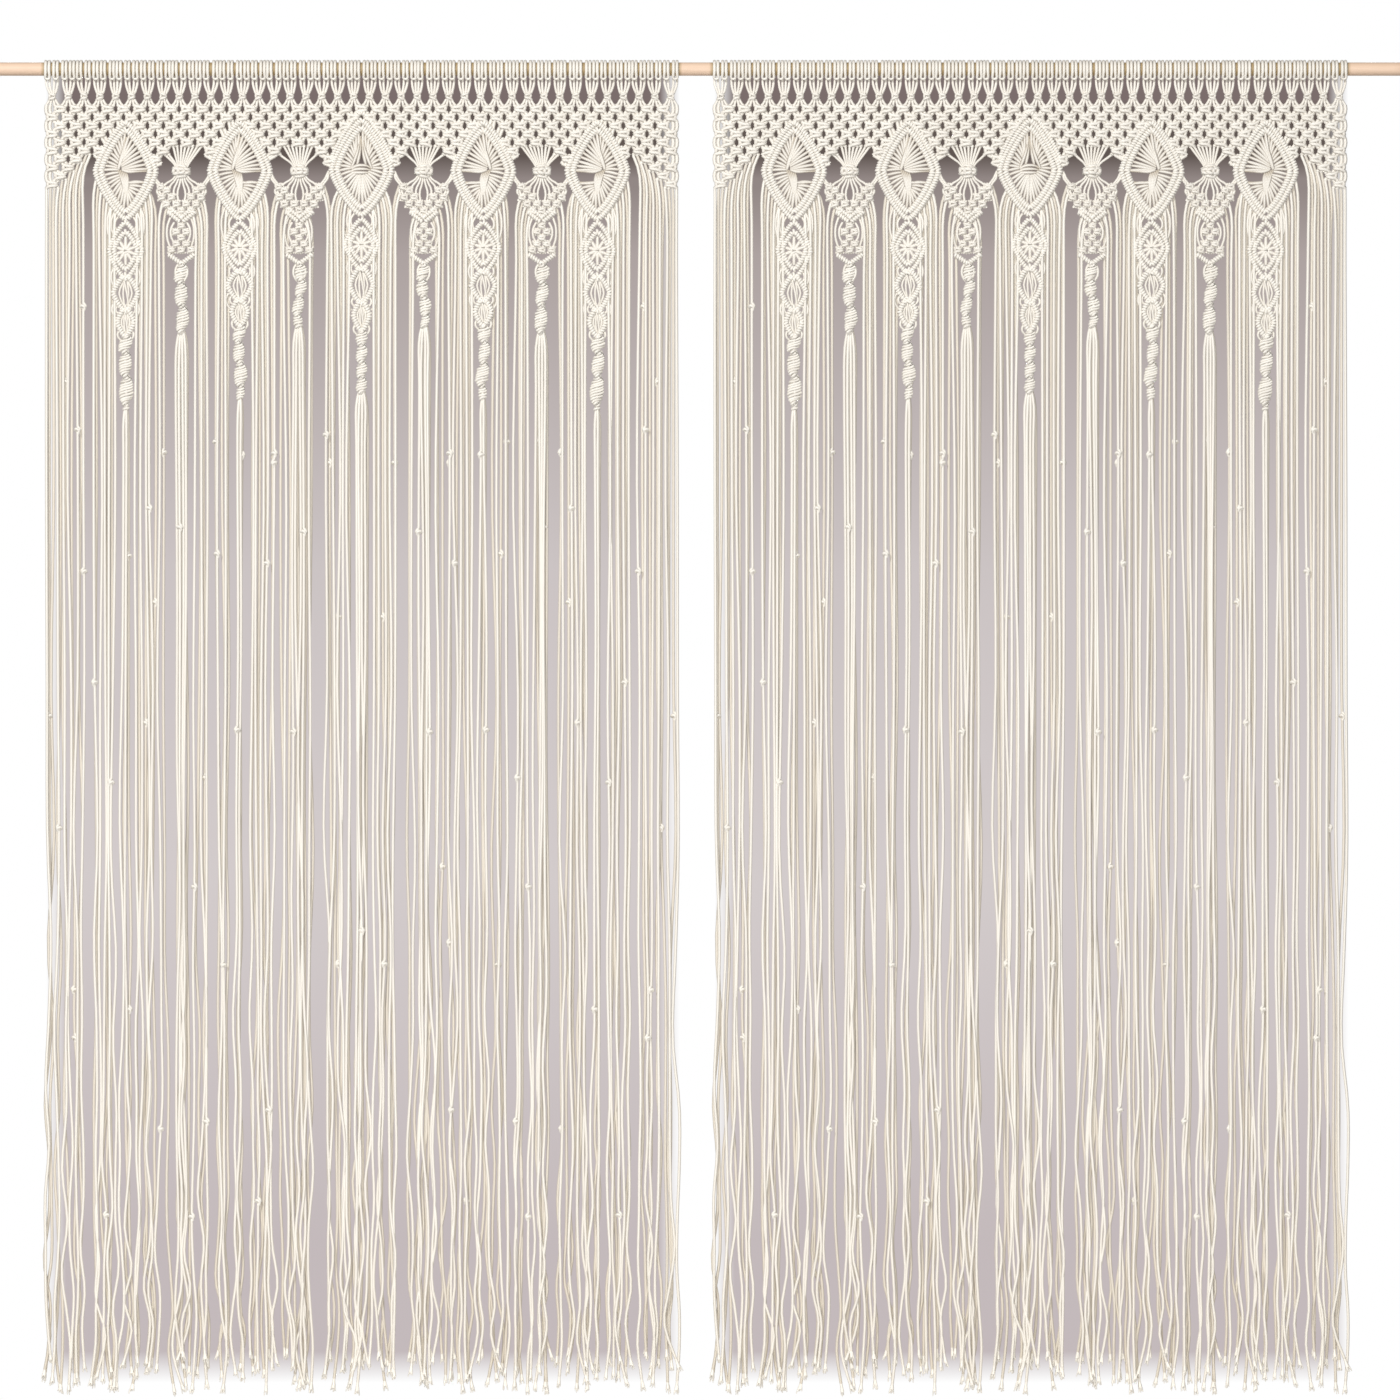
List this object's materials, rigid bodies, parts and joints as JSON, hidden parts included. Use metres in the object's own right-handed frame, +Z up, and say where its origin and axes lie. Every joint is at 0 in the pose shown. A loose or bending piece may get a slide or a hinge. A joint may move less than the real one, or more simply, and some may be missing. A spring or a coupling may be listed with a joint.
{
  "type": "macrame curtain pair and rod",
  "caption": "Knotted cotton cord curtains with diamond and sunburst motifs, braided pendants and long hanging strands, looped over a plain wooden rod.",
  "frame": {"origin": "on the rod's axis, midway between the two curtains", "axes": "+X along the rod, to the right of someone facing the front; the front faces -Y; +Z up"},
  "size_m": [2.26, 0.0296, 2.1148],
  "materials": {
    "cotton_cord": "twisted natural cotton cord, matt, ivory",
    "rod_wood": "plain light wood, smooth, unvarnished"
  },
  "bodies": {
    "root": {"rod": "rod_wood", "left_heading": "cotton_cord", "left_pendant_1": "cotton_cord", "left_pendant_2": "cotton_cord", "left_pendant_3": "cotton_cord", "left_pendant_4": "cotton_cord", "left_pendant_5": "cotton_cord", "left_pendant_6": "cotton_cord", "left_pendant_7": "cotton_cord", "left_pendant_8": "cotton_cord", "left_pendant_9": "cotton_cord", "left_fringe_1": "cotton_cord", "left_fringe_2": "cotton_cord", "left_fringe_3": "cotton_cord", "left_fringe_4": "cotton_cord", "left_fringe_5": "cotton_cord", "left_fringe_6": "cotton_cord", "left_fringe_7": "cotton_cord", "left_fringe_8": "cotton_cord", "left_fringe_9": "cotton_cord", "left_fringe_10": "cotton_cord", "left_fringe_11": "cotton_cord", "left_fringe_12": "cotton_cord", "right_heading": "cotton_cord", "right_pendant_1": "cotton_cord", "right_pendant_2": "cotton_cord", "right_pendant_3": "cotton_cord", "right_pendant_4": "cotton_cord", "right_pendant_5": "cotton_cord", "right_pendant_6": "cotton_cord", "right_pendant_7": "cotton_cord", "right_pendant_8": "cotton_cord", "right_pendant_9": "cotton_cord", "right_fringe_1": "cotton_cord", "right_fringe_2": "cotton_cord", "right_fringe_3": "cotton_cord", "right_fringe_4": "cotton_cord", "right_fringe_5": "cotton_cord", "right_fringe_6": "cotton_cord", "right_fringe_7": "cotton_cord", "right_fringe_8": "cotton_cord", "right_fringe_9": "cotton_cord", "right_fringe_10": "cotton_cord", "right_fringe_11": "cotton_cord", "right_fringe_12": "cotton_cord"}
  },
  "joints": []
}
